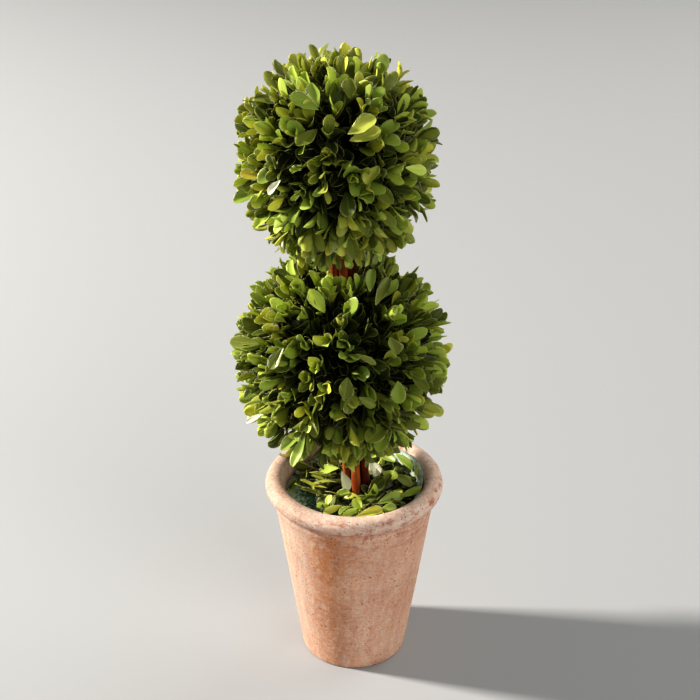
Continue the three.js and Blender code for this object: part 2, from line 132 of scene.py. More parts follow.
def aged_terracotta():
    """Unglazed low-fired clay, dry and matt: a pinkish tan under a fine chalky bloom, with an iron
    stain left of the front, maroon smudges on the rim, a maroon line along its fold, and fine
    rust specks."""
    # By number, a Mix takes its share in socket 0 and its colours in 6 and 7, and gives one in 2.
    # A MapRange takes the range that it reads in 1 and 2, and the range that it gives in 3 and 4.
    material, shader, add = new_material("aged_terracotta", roughness=0.92, ior=1.5)
    place = add("TexCoord", {}, "Object")
    across = add("SeparateXYZ", {0: place}, "X")
    height = add("SeparateXYZ", {0: place}, "Z")
    patches = add("TexNoise", {"Vector": place, "Scale": 1 / (46 * MM), "Detail": 3.0})
    stops = [(0.36, "#d0a389"), (0.52, "#d6ab92"), (0.66, "#deb59d")]
    clay = add("ValToRGB", {0: patches}, stops=stops)
    # The stain: a soft orange band down the wall, sharper on its left, weaker near the foot.
    wander = add("TexNoise", {"Vector": place, "Scale": 1 / (24 * MM), "Detail": 5.0})
    wander = add("Math", {0: wander, 1: 14 * MM, 2: across}, operation="MULTIPLY_ADD")
    band = add("MapRange", {0: wander, 1: -40 * MM, 2: 16 * MM})
    band = add("ValToRGB", {0: band}, stops=[(0.12, 0.0), (0.3, 1.0), (0.5, 1.0), (0.95, 0.0)])
    low = add("MapRange", {0: height, 1: 10 * MM, 2: 110 * MM, 3: 0.35, 4: 0.85})
    high = add("MapRange", {0: height, 1: 157 * MM, 2: 140 * MM})
    for share in (low, high):
        band = add("Math", {0: band, 1: share}, operation="MULTIPLY")
    colour = add("Mix", {0: band, 6: clay, 7: linear("#ba7f54")}, 2, data_type="RGBA")
    # Chalk bloom, fine as dust: thickest on the rim and left of the stain. Left of the stain the
    # chalk is also painted a darker grey, as painted shade that tempers the side the key light
    # strikes.
    powder = {"Vector": place, "Scale": 1 / (5 * MM), "Detail": 9.0, "Roughness": 0.72}
    dust = add("TexNoise", powder)
    left = add("MapRange", {0: across, 1: -20 * MM, 2: -42 * MM})
    rim = add("MapRange", {0: height, 1: 150 * MM, 2: 160 * MM, 3: 0.0, 4: 0.26})
    dust = add("Math", {0: left, 1: 0.2, 2: dust}, operation="MULTIPLY_ADD")
    dust = add("Math", {0: dust, 1: rim}, operation="ADD")
    dust = add("Math", {0: band, 1: -0.07, 2: dust}, operation="MULTIPLY_ADD")
    bloom = add("ValToRGB", {0: dust}, stops=[(0.42, 0.0), (0.8, 0.85)])
    # Painted shade: towards the left the chalk's colour turns a darker grey.
    tones = {0: left, 6: linear("#dacbc2"), 7: linear("#b9a89c")}
    chalk = add("Mix", tones, 2, data_type="RGBA")
    colour = add("Mix", {0: bloom, 6: colour, 7: chalk}, 2, data_type="RGBA")
    # Wiping marks down the wall, and turning marks around it.
    drawn_out = {0: place, "Scale": (1 / (5 * MM), 1 / (5 * MM), 1 / (70 * MM))}
    wiped = add("TexNoise", {"Vector": add("Mapping", drawn_out), "Scale": 1.0})
    wiped = add("ValToRGB", {0: wiped}, stops=[(0.35, 0.4), (0.7, 0.6)])
    look = {"data_type": "RGBA", "blend_type": "OVERLAY"}
    colour = add("Mix", {0: 0.5, 6: colour, 7: wiped}, 2, **look)
    drawn_out = {0: place, "Scale": (1 / (38 * MM), 1 / (38 * MM), 1 / (1.6 * MM))}
    marks = add("TexNoise", {"Vector": add("Mapping", drawn_out), "Scale": 1.0})
    marks = add("ValToRGB", {0: marks}, stops=[(0.62, 0.0), (0.72, 0.3)])
    colour = add("Mix", {0: marks, 6: colour, 7: linear("#b5805f")}, 2, data_type="RGBA")
    # Mottling, drawn about twice as coarse as the grain of the clay so that it shows.
    grain = {"Vector": place, "Scale": 1 / (1.8 * MM), "Detail": 5.0, "Roughness": 0.75}
    mottle = add("ValToRGB", {0: add("TexNoise", grain)}, stops=[(0.32, 0.28), (0.68, 0.72)])
    colour = add("Mix", {0: 0.55, 6: colour, 7: mottle}, 2, **look)
    # Maroon smudges, drawn out round the rim, and a broken maroon line along the fold under it.
    drawn_out = {0: place, "Scale": (1 / (10 * MM), 1 / (10 * MM), 1 / (5 * MM))}
    rubbed = {"Vector": add("Mapping", drawn_out), "Scale": 1.0, "Detail": 9.0}
    smudge = add("TexNoise", {**rubbed, "Roughness": 0.8})
    smudge = add("ValToRGB", {0: smudge}, stops=[(0.5, 0.0), (0.6, 0.85)])
    above = add("MapRange", {0: height, 1: 115 * MM, 2: 150 * MM})
    below = add("MapRange", {0: height, 1: 166 * MM, 2: 161 * MM})
    clean = add("MapRange", {0: across, 1: -50 * MM, 2: -5 * MM, 3: 0.4, 4: 1.0})
    for share in (clean, above, below):
        smudge = add("Math", {0: smudge, 1: share}, operation="MULTIPLY")
    fold = add("MapRange", {0: height, 1: 140 * MM, 2: 160 * MM})
    fold = add("ValToRGB", {0: fold}, stops=[(0.36, 0.0), (0.48, 1.0), (0.6, 0.0)])
    fold_breakup = add("ValToRGB", {0: patches}, stops=[(0.4, 0.05), (0.55, 0.3)])
    fold = add("Math", {0: fold, 1: fold_breakup}, operation="MULTIPLY")
    smudge = add("Math", {0: smudge, 1: fold}, operation="MAXIMUM")
    colour = add("Mix", {0: smudge, 6: colour, 7: linear("#a35f49")}, 2, data_type="RGBA")
    # Rust specks where grit has pulled out: fine ones in groups, and a few large ones. Some of
    # the clay's own colour shows in them.
    fine = add("TexVoronoi", {"Vector": place, "Scale": 1 / (3.1 * MM)})
    fine = add("ValToRGB", {0: fine}, stops=[(0.12, 1.0), (0.24, 0.0)])
    groups = add("TexNoise", {"Vector": place, "Scale": 1 / (15 * MM)})
    groups = add("ValToRGB", {0: groups}, stops=[(0.42, 0.15), (0.6, 1.0)])
    fine = add("Math", {0: fine, 1: groups}, operation="MULTIPLY")
    large = add("TexVoronoi", {"Vector": place, "Scale": 1 / (11 * MM)})
    large = add("ValToRGB", {0: large}, stops=[(0.05, 1.0), (0.11, 0.0)])
    specks = add("Math", {0: fine, 1: large}, operation="MAXIMUM")
    rust = add("Math", {0: specks, 1: 0.72}, operation="MULTIPLY")
    colour = add("Mix", {0: rust, 6: colour, 7: linear("#91492f")}, 2, data_type="RGBA")
    pits = {"Vector": place, "Scale": 1 / (1.3 * MM), "Detail": 4.0, "Roughness": 0.65}
    relief = add("Math", {0: add("TexNoise", pits), 1: specks}, operation="SUBTRACT")
    bump = add("Bump", {"Height": relief, "Strength": 0.5, "Distance": 0.35 * MM})
    feed(shader, {"Base Color": colour, "Normal": bump})
    return material


def piece(name, points, triangles, materials, slots=None):
    """Makes a smooth mesh from arrays of points and of triangles, in millimetres, and links it."""
    points, triangles = np.asarray(points), np.asarray(triangles)
    data = bpy.data.meshes.new(name)
    data.vertices.add(len(points))
    data.vertices.foreach_set("co", (points * MM).astype(np.float32).ravel())
    data.loops.add(triangles.size)
    data.loops.foreach_set("vertex_index", triangles.astype(np.int32).ravel())
    data.polygons.add(len(triangles))
    data.polygons.foreach_set("loop_start", np.arange(0, triangles.size, 3, dtype=np.int32))
    data.polygons.foreach_set("use_smooth", np.ones(len(triangles), bool))
    for material in materials:
        data.materials.append(material)
    if slots is not None:
        data.polygons.foreach_set("material_index", np.asarray(slots, np.int32))
    data.update(calc_edges=True)
    made = bpy.data.objects.new(name, data)
    bpy.context.scene.collection.objects.link(made)
    return made


def closed_skin(rows, sides):
    """Triangles over rows of points in rings, which two end points follow, one for each end."""
    a = np.arange(rows * sides).reshape(rows, sides)
    b = np.roll(a, -1, axis=1)
    first, last = np.full(sides, rows * sides), np.full(sides, rows * sides + 1)
    corners = [(a[:-1], b[:-1], b[1:]), (a[:-1], b[1:], a[1:])]
    corners += [(first, b[0], a[0]), (last, a[-1], b[-1])]
    return np.concatenate([np.stack(three, -1).reshape(-1, 3) for three in corners])


def turned(profile, sides):
    """Points and triangles of a solid turned about the Z axis. The profile's ends lie on it."""
    angle = np.arange(sides) * 2 * np.pi / sides
    radius, height = np.array(profile[1:-1]).T[..., None] * np.ones(sides)
    rings = np.stack([radius * np.cos(angle), radius * np.sin(angle), height], -1)
    ends = [(0, 0, profile[0][1]), (0, 0, profile[-1][1])]
    return np.vstack([rings.reshape(-1, 3), ends]), closed_skin(len(rings), sides)


def arc(middle, radius, start, end, steps):
    """Points of an arc in a profile, from one angle in degrees to another."""
    angles = np.radians(np.linspace(start, end, steps + 1))
    return [(middle[0] + radius * math.cos(a), middle[1] + radius * math.sin(a)) for a in angles]


def wall_radius(z):
    """Outer radius of the pot's wall, with the soft collar left under the folded rim."""
    collar = COLLAR_SWELL * np.exp(-(((z - COLLAR_HEIGHT) / COLLAR_SPREAD) ** 2))
    fillet = FILLET_SWELL * np.exp(-np.clip(RIM_ROLL_FOOT - z, 0, None) / FILLET_SPREAD)
    return POT_FOOT_RADIUS + POT_TAPER * z + collar + fillet


def inner_radius(z):
    """Inner radius of the pot's wall."""
    return POT_FOOT_RADIUS + POT_TAPER * z - POT_WALL - WALL_THICKENING * z


roll_middle = (RIM_OUTER_RADIUS - RIM_ROLL_RADIUS, RIM_ROLL_HEIGHT)
foot_middle = (POT_FOOT_RADIUS + POT_TAPER * FOOT_ROUNDING - FOOT_ROUNDING, FOOT_ROUNDING)
# The wall's rings lie closer together where the collar and the fillet curve it.
wall_heights = np.concatenate([np.linspace(6, 132, 43), np.linspace(134, RIM_ROLL_FOOT - 0.6, 22)])
inner_heights = np.linspace(RIM_ROLL_FOOT, POT_FLOOR + 3, 40)
# From the middle of the flat foot up the outside, over the roll, and down to the pot's floor.
pot_profile = [(0, 0), (20, 0), (34, 0)]
pot_profile += arc(foot_middle, FOOT_ROUNDING, -90, 0, 7)
pot_profile += [(wall_radius(z), z) for z in wall_heights]
pot_profile += arc(roll_middle, RIM_ROLL_RADIUS, -66, 180, 34)
pot_profile += [(inner_radius(z), z) for z in inner_heights]
pot_profile += [(inner_radius(POT_FLOOR) - 3, POT_FLOOR), (15, POT_FLOOR), (0, POT_FLOOR)]
pot_points, pot_triangles = turned(pot_profile, POT_SIDES)

# A potter's hands leave the wall and the roll a few tenths of a millimetre out of round.
turn = np.arctan2(pot_points[:, 1], pot_points[:, 0])
z = pot_points[:, 2]
out_of_round = 0.22 * np.sin(2 * turn + 0.8) + 0.12 * np.sin(5 * turn + z / 40)
throwing = 0.07 * np.sin(z / 1.9 + 1.3 * np.sin(turn)) + 0.05 * np.sin(z / 0.83 + turn)
radius = np.hypot(pot_points[:, 0], pot_points[:, 1])
on_wall = (z > 1) & (radius > 20)
uneven = np.where(on_wall, out_of_round + throwing - POT_MARGIN, 0)
pot_points[:, :2] *= (1 + uneven / np.maximum(radius, 1))[:, None]
rim = np.clip((z - RIM_ROLL_FOOT) / (POT_HEIGHT - RIM_ROLL_FOOT), 0, 1)
wavy = 0.25 * np.sin(3 * turn + 2) + 0.12 * np.sin(7 * turn)
pot_points[:, 2] += rim * wavy - rim * POT_MARGIN

pot = piece("terracotta_pot", pot_points, pot_triangles, [aged_terracotta()])
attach(pot, "root")
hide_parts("pot")


# The foam. A plug of dark teal floral foam pushed into the pot, dished on top and torn a little
# where it meets the wall. The sticks are stuck into it.
FOAM_TOP = 147.5
FOAM_DISH_RADIUS = 47.0
FOAM_EDGE_RISE = 6.0
FOAM_HIGH_SIDE = math.radians(25)
FOAM_HIGH_RISE = 9.5
FOAM_HIGH_START = 0.86
FOAM_TORN_RADIUS = 54.5
# The plug is narrower at its foot, and keeps this clear of the wall all the way up.
FOAM_FOOT_IN = 3.6
FOAM_GAP = 0.45
FOAM_BEVEL = 1.2
FOAM_SIDES = 120
# What pieces that touch leave free between them.
CLEARANCE = 0.3


def chance(index, channel):
    """A number from 0 to 1 that depends only on a whole number and a channel."""
    wave = np.sin(np.asarray(index) * 12.9898 + channel * 78.233) * 43758.5453
    return wave - np.floor(wave)


def lumps(points, size, seed, octaves=3):
    """A smooth random height, about -1 to 1, from sums of waves whose length starts at size."""
    total = np.zeros(len(points))
    for octave in range(octaves):
        for wave in range(4):
            key = seed + 10 * octave + wave
            way = np.array([chance(key, c) - 0.5 for c in (1, 2, 3)])
            way /= np.linalg.norm(way)
            phase = 2 * np.pi * chance(key, 4)
            total += np.sin(points @ way * 2 * np.pi * 2**octave / size + phase) / 2**octave / 4
    return total


def floral_foam():
    """Fine-celled phenolic foam, dyed dark teal: dead matt, crumbly, and paler where it is
    scratched.
    Towards the pot its marks are painted paler still, as painted light, as if sun fell on the
    foam's edge by the wall. Its cells are drawn a few times as coarse as they are, so that they
    show."""
    material, shader, add = new_material("floral_foam", roughness=0.96, ior=1.3)
    place = add("TexCoord", {}, "Object")
    body = add("TexNoise", {"Vector": place, "Scale": 1 / (9 * MM), "Detail": 5.0})
    stops = [(0.35, "#3a5046"), (0.55, "#5f7f6d"), (0.72, "#86a793")]
    body = add("ValToRGB", {0: body}, stops=stops)
    marks = add("TexNoise", {"Vector": place, "Scale": 1 / (2.4 * MM), "Detail": 3.0})
    level = add("VectorMath", {0: place, 1: (1, 1, 0)}, operation="MULTIPLY")
    out = add("VectorMath", {0: level}, "Value", operation="LENGTH")
    # Painted light: towards the wall the foam is painted paler, as if sun fell on its edge.
    painted_light_at_wall = add("MapRange", {0: out, 1: 40 * MM, 2: 50 * MM, 3: 0.0, 4: 0.23})
    marks = add("Math", {0: marks, 1: painted_light_at_wall}, operation="ADD")
    marks = add("ValToRGB", {0: marks}, stops=[(0.52, 0.0), (0.66, 0.8)])
    colour = add("Mix", {0: marks, 6: body, 7: linear("#cfe0d2")}, 2, data_type="RGBA")
    cells = add("TexVoronoi", {"Vector": place, "Scale": 1 / (0.9 * MM)})
    bump = add("Bump", {"Height": cells, "Strength": 0.6, "Distance": 0.4 * MM})
    feed(shader, {"Base Color": colour, "Normal": bump})
    return material


foam_edge = FOAM_TOP + FOAM_EDGE_RISE
foam_foot = POT_FLOOR + CLEARANCE
foam_profile = [(0, foam_foot), (inner_radius(POT_FLOOR) - FOAM_FOOT_IN, foam_foot)]
foam_profile += [(inner_radius(h) - FOAM_GAP, h) for h in np.linspace(POT_FLOOR + 4, foam_edge, 24)]
for share in np.linspace(1, 0, 40)[1:]:
    r = share * (inner_radius(foam_edge) - FOAM_BEVEL)
    climb = np.clip((r - FOAM_DISH_RADIUS) / (inner_radius(foam_edge) - FOAM_DISH_RADIUS), 0, 1)
    foam_profile.append((r, FOAM_TOP + FOAM_EDGE_RISE * climb**1.4))
foam_points, foam_triangles = turned(foam_profile, FOAM_SIDES)
out = np.hypot(foam_points[:, 0], foam_points[:, 1])
on_top = (foam_points[:, 2] > FOAM_TOP - 1) & (out < FOAM_TORN_RADIUS)
torn = 0.9 * lumps(foam_points, 17, 5) + 0.5 * lumps(foam_points, 4.1, 70, 2)
foam_points[:, 2] += np.where(on_top, torn - 0.5, 0)
# The plug sits a little askew, so that its edge stands higher on the right.
at_edge = np.clip((out / inner_radius(foam_edge) - FOAM_HIGH_START) / 0.1, 0, 1)
facing = np.cos(np.arctan2(foam_points[:, 1], foam_points[:, 0]) - FOAM_HIGH_SIDE)
high = np.clip(facing, -0.4, 1) * FOAM_HIGH_RISE * at_edge
foam_points[:, 2] += np.where(foam_points[:, 2] > FOAM_TOP - 1, high, 0)
foam = piece("floral_foam_plug", foam_points, foam_triangles, [floral_foam()])
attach(foam, "root")
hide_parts("foam_plug")


# The sticks. Four straight shoots of a red-barked shrub, cut to one length and stuck into the
# foam side by side as one bundle, which leans to the left. Both balls are pushed down over them.
STICK_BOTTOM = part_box("stick_front")[0].z / MM
STICK_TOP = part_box("stick_front")[1].z / MM
STICK_FOOT_RADIUS = 4.1
STICK_TIP_RADIUS = 3.45
BUNDLE_NARROWING = 0.87
STICK_LEAN = 0.048
BUNDLE_START = 8.5
STICK_BOW = (0.7, 0.56)
STICK_BOW_TURN = math.radians(288)
SCAR_SPACING = 46
SCAR_SHIFT = 17
# The bark's unevenness stays within the frame by this much.
BARK_MARGIN = 0.33
STICK_SIDES = 20
# Where each stick stands in the bundle. The balls and the foam have a channel round them all.
STICK_PLACES = {
    "stick_front": (0.2, -4.7),
    "stick_right": (7.2, 0.3),
    "stick_back": (-0.3, 4.7),
    "stick_left": (-7.2, -0.4),
}
CHANNEL_HALF_WIDTH = 11.9
CHANNEL_HALF_DEPTH = 9.4


def up_stick(height):
    """How far up the sticks a height lies, from 0 to 1."""
    return (height - STICK_BOTTOM) / (STICK_TOP - STICK_BOTTOM)


def bundle_middle(height):
    """Where the middle of the bundle lies at a height, as two arrays."""
    bow = np.sin(STICK_BOW_TURN * up_stick(height))
    return BUNDLE_START - STICK_LEAN * height + STICK_BOW[0] * bow, STICK_BOW[1] * bow


def bundle_size(height):
    """How closely the sticks lie together at a height, as a share of their spacing at the foot."""
    return 1 + (BUNDLE_NARROWING - 1) * up_stick(height)


def tubes(paths, radii, sides):
    """Points and triangles of closed tubes. paths is an array of tubes by steps by 3. radii is
    one of tubes by steps by sides, with a 1 in place of a number where they don't differ."""
    count, steps, _ = paths.shape
    along = np.gradient(paths, axis=1)
    along /= np.linalg.norm(along, axis=2, keepdims=True)
    whole = paths[:, -1] - paths[:, 0]
    guide = np.where(np.abs(whole[:, :1]) < np.abs(whole[:, 2:]), [[1.0, 0, 0]], [[0, 0, 1.0]])
    first = np.cross(along, guide[:, None, :])
    first /= np.linalg.norm(first, axis=2, keepdims=True)
    second = np.cross(along, first)
    angle = np.arange(sides) * 2 * np.pi / sides
    ring = first[:, :, None] * np.cos(angle)[:, None] + second[:, :, None] * np.sin(angle)[:, None]
    rings = paths[:, :, None] + ring * radii[..., None]
    points = np.concatenate([rings.reshape(count, -1, 3), paths[:, :1], paths[:, -1:]], 1)
    start = np.arange(count)[:, None, None] * points.shape[1]
    triangles = closed_skin(steps, sides)[None] + start
    return points.reshape(-1, 3), triangles.reshape(-1, 3)


def red_bark(name, tones):
    """Smooth young bark, waxy and dull red-brown, lighter orange where it has rubbed, with fine
    streaks along the shoot. A darker maroon copy is painted shade for shoots away from the light."""
    material, shader, add = new_material(name, roughness=0.45)
    place = add("TexCoord", {}, "Object")
    drawn_out = {0: place, "Scale": (1 / (2.6 * MM), 1 / (2.6 * MM), 1 / (26 * MM))}
    fibres = {"Vector": add("Mapping", drawn_out), "Scale": 1.0, "Detail": 5.0}
    streaks = add("TexNoise", fibres)
    red = add("ValToRGB", {0: streaks}, stops=zip((0.3, 0.5, 0.7), tones))
    rubbed = add("TexNoise", {"Vector": place, "Scale": 1 / (14 * MM), "Detail": 2.0})
    rubbed = add("ValToRGB", {0: rubbed}, stops=[(0.48, 0.0), (0.7, 0.5)])
    colour = add("Mix", {0: rubbed, 6: red, 7: linear(tones[3])}, 2, data_type="RGBA")
    bump = add("Bump", {"Height": streaks, "Strength": 0.5, "Distance": 0.4 * MM})
    feed(shader, {"Base Color": colour, "Normal": bump})
    return material


# Two copies of one bark: a lighter one for the shoots that face the key light, and a darker maroon
# one as painted shade for the shoots away from it.
lit_bark = red_bark("red_bark", ("#6a281a", "#9a4e2c", "#c27642", "#d28650"))
shaded_bark = red_bark("maroon_bark", ("#3c1311", "#64241f", "#86392a", "#9a4a34"))
stick_heights = np.linspace(STICK_BOTTOM, STICK_TOP, 150)
middle_x, middle_y = bundle_middle(stick_heights)
size = bundle_size(stick_heights)
thick = STICK_FOOT_RADIUS + (STICK_TIP_RADIUS - STICK_FOOT_RADIUS) * up_stick(stick_heights)
around = (np.arange(STICK_SIDES) * 2 * np.pi / STICK_SIDES)[None]
up = stick_heights[:, None]
for number, (name, (dx, dy)) in enumerate(STICK_PLACES.items()):
    path = np.stack([middle_x + dx * size, middle_y + dy * size, stick_heights], 1)
    # Leaf scars ring the shoot every few centimetres, and flat runs lie between them.
    scar = np.exp(-(((up + SCAR_SHIFT * number) % SCAR_SPACING - SCAR_SPACING / 2) ** 2) / 5)
    flat = 0.2 * np.cos(3 * around + number + up / 90)
    ridge = 0.07 * np.cos(9 * around + 2 * number + up / 25)
    radii = thick[:, None] - BARK_MARGIN + flat + ridge + 0.22 * scar
    stick_points, stick_triangles = tubes(path[None], radii[None], STICK_SIDES)
    # The right and back shoots, away from the key light, take the darker bark as painted shade.
    bark = shaded_bark if name in ("stick_right", "stick_back") else lit_bark
    stick = piece("shoot_" + name.split("_")[1], stick_points, stick_triangles, [bark])
    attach(stick, "root")
    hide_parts(name)


# The lower ball. A foam ball stuck all over with short boxwood sprigs, which stand straight out
# of it, and clipped round. Each sprig carries crossed pairs of spoon-shaped leaves.

# hollow tells how the foliage ends round the sticks on the side of the other ball: up (1) or down
# (-1), how far from the middle, and how much further for each millimetre away from the sticks.
# openness is how far the leaves spread, as a share of their angles from the stem.
LOWER_BALL = {
    "name": "lower",
    "middle": (-9.5, 0, 272),
    "radius": 87.5,
    "half_height": 87.0,
    "hollow": (1, 72.0, 0.38),
    "sprigs": 290,
    "openness": 0.65,
    "seed": 3,
    "tints": {"yellow_green": 2, "deep": 4, "fresh": 7, "dark": 4, "green": 8, "olive": 4},
    "single_leaves": (
        ((27, -59, 249), (9, -83, 245), 0, 0.45, 0.1, "deep"),
        ((27, -59, 250), (18, -78, 234), 0, 0.48, 0.1, "green"),
        ((-21, -40, 328), (-32, -41, 349), 0, 0.46, 0.2, "fresh"),
        ((40, -47, 285), (54, -57, 274), 0, 0.43, 0.2, "deep"),
        ((-69, -40, 303), (-91, -32, 301), 0, 0.42, 0.1, "deep"),
        ((-36, -56, 238), (-45, -64, 213), 0, 0.3, 0.2, "green"),
        ((-37, -57, 243), (-53, -69, 229), 0, 0.38, 0.2, "green"),
        ((-51, -58, 310), (-60, -65, 296), 0, 0.5, 0.2, "deep"),
        ((15, -46, 337), (25, -29, 350), 0, 0.38, 0.1, "deep"),
        ((11, -36, 343), (13, -24, 355), 0, 0.5, 0.1, "green"),
        # This whitish sliver is partly a painted highlight.
        ((-67, -53, 252), (-80, -46, 240), 0, 0.22, 0.1, "pale_highlit"),
        ((-5, -73, 294), (-8, -81, 281), 30, 0.74, 0.2, "deep"),
        ((-4, -74, 278), (-5, -81, 268), 30, 0.68, 0.1, "deep"),
        ((31, -66, 287), (33, -76, 274), 0, 0.72, 0.2, "green"),
        ((25, -59, 319), (29, -69, 309), 42, 0.78, 0.2, "deep"),
        ((0, -70, 311), (15, -75, 306), 20, 0.3, -0.2, "deep"),
        ((3, -76, 279), (15, -81, 274), 0, 0.5, 0.3, "deep"),
    ),
}
# Single leaves that stand out are given by foot, tip, roll in degrees, width as a share of their
# length, bend and tint. Unrolled, their faces are turned this way; others keep this far off.
SINGLE_LEAF_FACE = (-0.3, -0.7, 0.65)
SINGLE_LEAF_ROOM = 4.5
# Clipped by hand, the balls have fuller shoulders than a true sphere, whose fullness is 2.
FULLNESS = 2.4
CORE_SHARE = 0.58
CORE_LUMPS = 0.035
GOLDEN_ANGLE = math.pi * (3 - math.sqrt(5))
SPRIG_STRAY = 0.12
# How far past the clipped outline, and how deep among the sticks, a leaf may lie.
OUTLINE_LIMIT = 1.02
STICK_TOUCH = 0.12
# Two layers of sprigs: how far out their stems and their leaves reach, and each pair of leaves'
# angle from the stem in degrees and place up the stem. The inner ones fill the gaps.
OUTER_SPRIGS = {
    "stem": (0.73, 0.8),
    "reach": (0.93, 1.0),
    "pairs": ((36, 0.0), (25, 0.55), (15, 1.0)),
}
INNER_SPRIGS = {
    "stem": (0.62, 0.68),
    "reach": (0.7, 0.82),
    "pairs": ((42, 0.2), (26, 1.0)),
}
# The inner and lowest leaves take near-black tints: old leaves, darkened further as painted shade
# in the deep gaps of the ball. The others share their sprig's tint or have their own.
SHADED_OLD_TINTS = {"shaded_old": 2, "dark": 1}
OWN_TINT_SHARE = 0.45
# How far leaves stray from their pair: turn about the stem and roll in radians, spread in
# degrees, place on the stem as a share of it.
TURN_STRAY = 0.5
ROLL_STRAY = 2.7
SPREAD_STRAY = 26
CLIMB_STRAY = 0.3
# How deep the sprigs' stems are stuck into the core, how far they may bow, and their radii.
STEM_ROOT = 4
STEM_BOW = 3
STEM_RADII = (0.75, 0.5)
# Lengths, which fall to this share at a sprig's tip, and widths as a share of the length.
LEAF_LENGTH = (18.5, 26.5)
TIP_LEAF_SHARE = 0.84
LEAF_SHAPE = (0.4, 0.5)
LEAF_THICKNESS = 0.38
# How far leaves are bent along their length and twisted about it, in radians, and how steeply
# they are folded along the rib and curled up at the margins: as grown, or where placed one by one.
LEAF_BEND = (-0.5, 0.25)
GROWN_FORM = {"fold": (0.05, 0.5), "curl": (-0.15, 0.35), "twist": (-0.5, 0.5)}
PLACED_FORM = {"fold": (0.1, 0.5), "curl": (0.0, 0.5), "twist": (-0.3, 0.3)}
# A leaf's points: places along it, and places across it as shares of its half width.
LEAF_ROWS = np.array([0.05, 0.16, 0.31, 0.47, 0.62, 0.77, 0.89, 0.968])
LEAF_COLUMNS = np.array([-1, -0.88, -0.46, -0.055, 0.055, 0.46, 0.88, 1])
LEAF_UNDER_COLUMNS = np.array([-0.5, 0, 0.5])
# Each tint has three materials in this order. The strips between the columns show them so.
BLADE, MARGIN, UNDER = 0, 1, 2
UPPER_LOOKS = (MARGIN, BLADE, BLADE, UNDER, BLADE, BLADE, MARGIN)
LOWER_LOOKS = (UNDER, UNDER, UNDER, UNDER)
LEAF_TINTS = {
    "olive": "#a9b156",
    "dark": "#4d5b2e",
    "green": "#92a852",
    "deep": "#757f3c",
    "yellow_green": "#c8cb5b",
    "fresh": "#bdd266",
    "gold": "#c2b750",
    # Whitish leaves: partly pale dried leaves, partly a painted highlight, a whole leaf whitened
    # where sun glints off it.
    "pale_highlit": "#d6d8c4",
    # The last tint is near black: old leaves, and painted shade for the deep gaps where it is used.
    "shaded_old": "#252b15",
}


def mixed(hex_colour, other, share):
    """A colour that lies that share of the way from one linear colour to another."""
    pairs = zip(linear(hex_colour), linear(other))
    return tuple(a + (b - a) * share for a, b in pairs)


def leaf_materials():
    """Preserved boxwood leaf, kept supple with glycerine: a satin olive blade, and a paler rib and
    underside. The margin is paler still, a painted highlight where the rolled edge catches light.
    Each tint is one plain colour, and sprigs differ in tint."""
    glow = {"Subsurface Weight": 0.16, "Subsurface Scale": 2 * MM}
    glow["Subsurface Radius"] = (1.0, 1.0, 0.35)
    made = []
    for name, blade in LEAF_TINTS.items():
        looks = {
            "blade": (linear(blade), 0.36),
            # The margin's paler colour is a painted highlight.
            "margin": (mixed(blade, "#b6bc60", 0.55), 0.4),
            "under": (mixed(blade, "#9ca54e", 0.35), 0.55),
        }
        for part, (colour, roughness) in looks.items():
            material, shader, _ = new_material(f"boxwood_{name}_{part}", roughness, ior=1.42)
            feed(shader, {"Base Color": colour, **glow})
            made.append(material)
    return made


def leaf_plan():
    """A leaf's points as (place along it, place across it, face) and its triangles with what each
    shows. Both faces share the margin, so the leaf is one closed thin body. The rib is as pale as
    the underside."""
    points = [(0, 0, 0), (1, 0, 0)]
    points += [(u, v, 1 if abs(v) < 1 else 0) for u in LEAF_ROWS for v in LEAF_COLUMNS]
    points += [(u, v, -1) for u in LEAF_ROWS for v in LEAF_UNDER_COLUMNS]
    rows = len(LEAF_ROWS)
    upper, under = np.split(np.arange(2, len(points)), [rows * len(LEAF_COLUMNS)])
    upper, under = upper.reshape(rows, -1), under.reshape(rows, -1)
    lower = np.hstack([upper[:, :1], under, upper[:, -1:]])
    triangles, shows = [], []
    for grid, looks, sign in ((upper, UPPER_LOOKS, 1), (lower, LOWER_LOOKS, -1)):
        # Every column starts at the leaf's foot, point 0, and ends at its tip, point 1.
        grid = np.pad(grid, ((1, 1), (0, 0)), constant_values=((0, 1), (0, 0)))
        for column, look in enumerate(looks):
            for row in range(rows + 1):
                a, b = grid[row, column : column + 2]
                d, c = grid[row + 1, column : column + 2]
                for corners in ((a, d, c), (a, c, b)):
                    if len(set(corners)) == 3:
                        triangles.append(corners[::sign])
                        shows.append(look)
    return np.array(points, float), np.array(triangles), np.array(shows)


LEAF_POINTS, LEAF_TRIANGLES, LEAF_SHOWS = leaf_plan()


def unit(vectors):
    """The same directions with length 1."""
    return vectors / np.linalg.norm(vectors, axis=-1, keepdims=True)


def between(limits, share):
    """A value that lies that share of the way between two limits."""
    return limits[0] + (limits[1] - limits[0]) * share


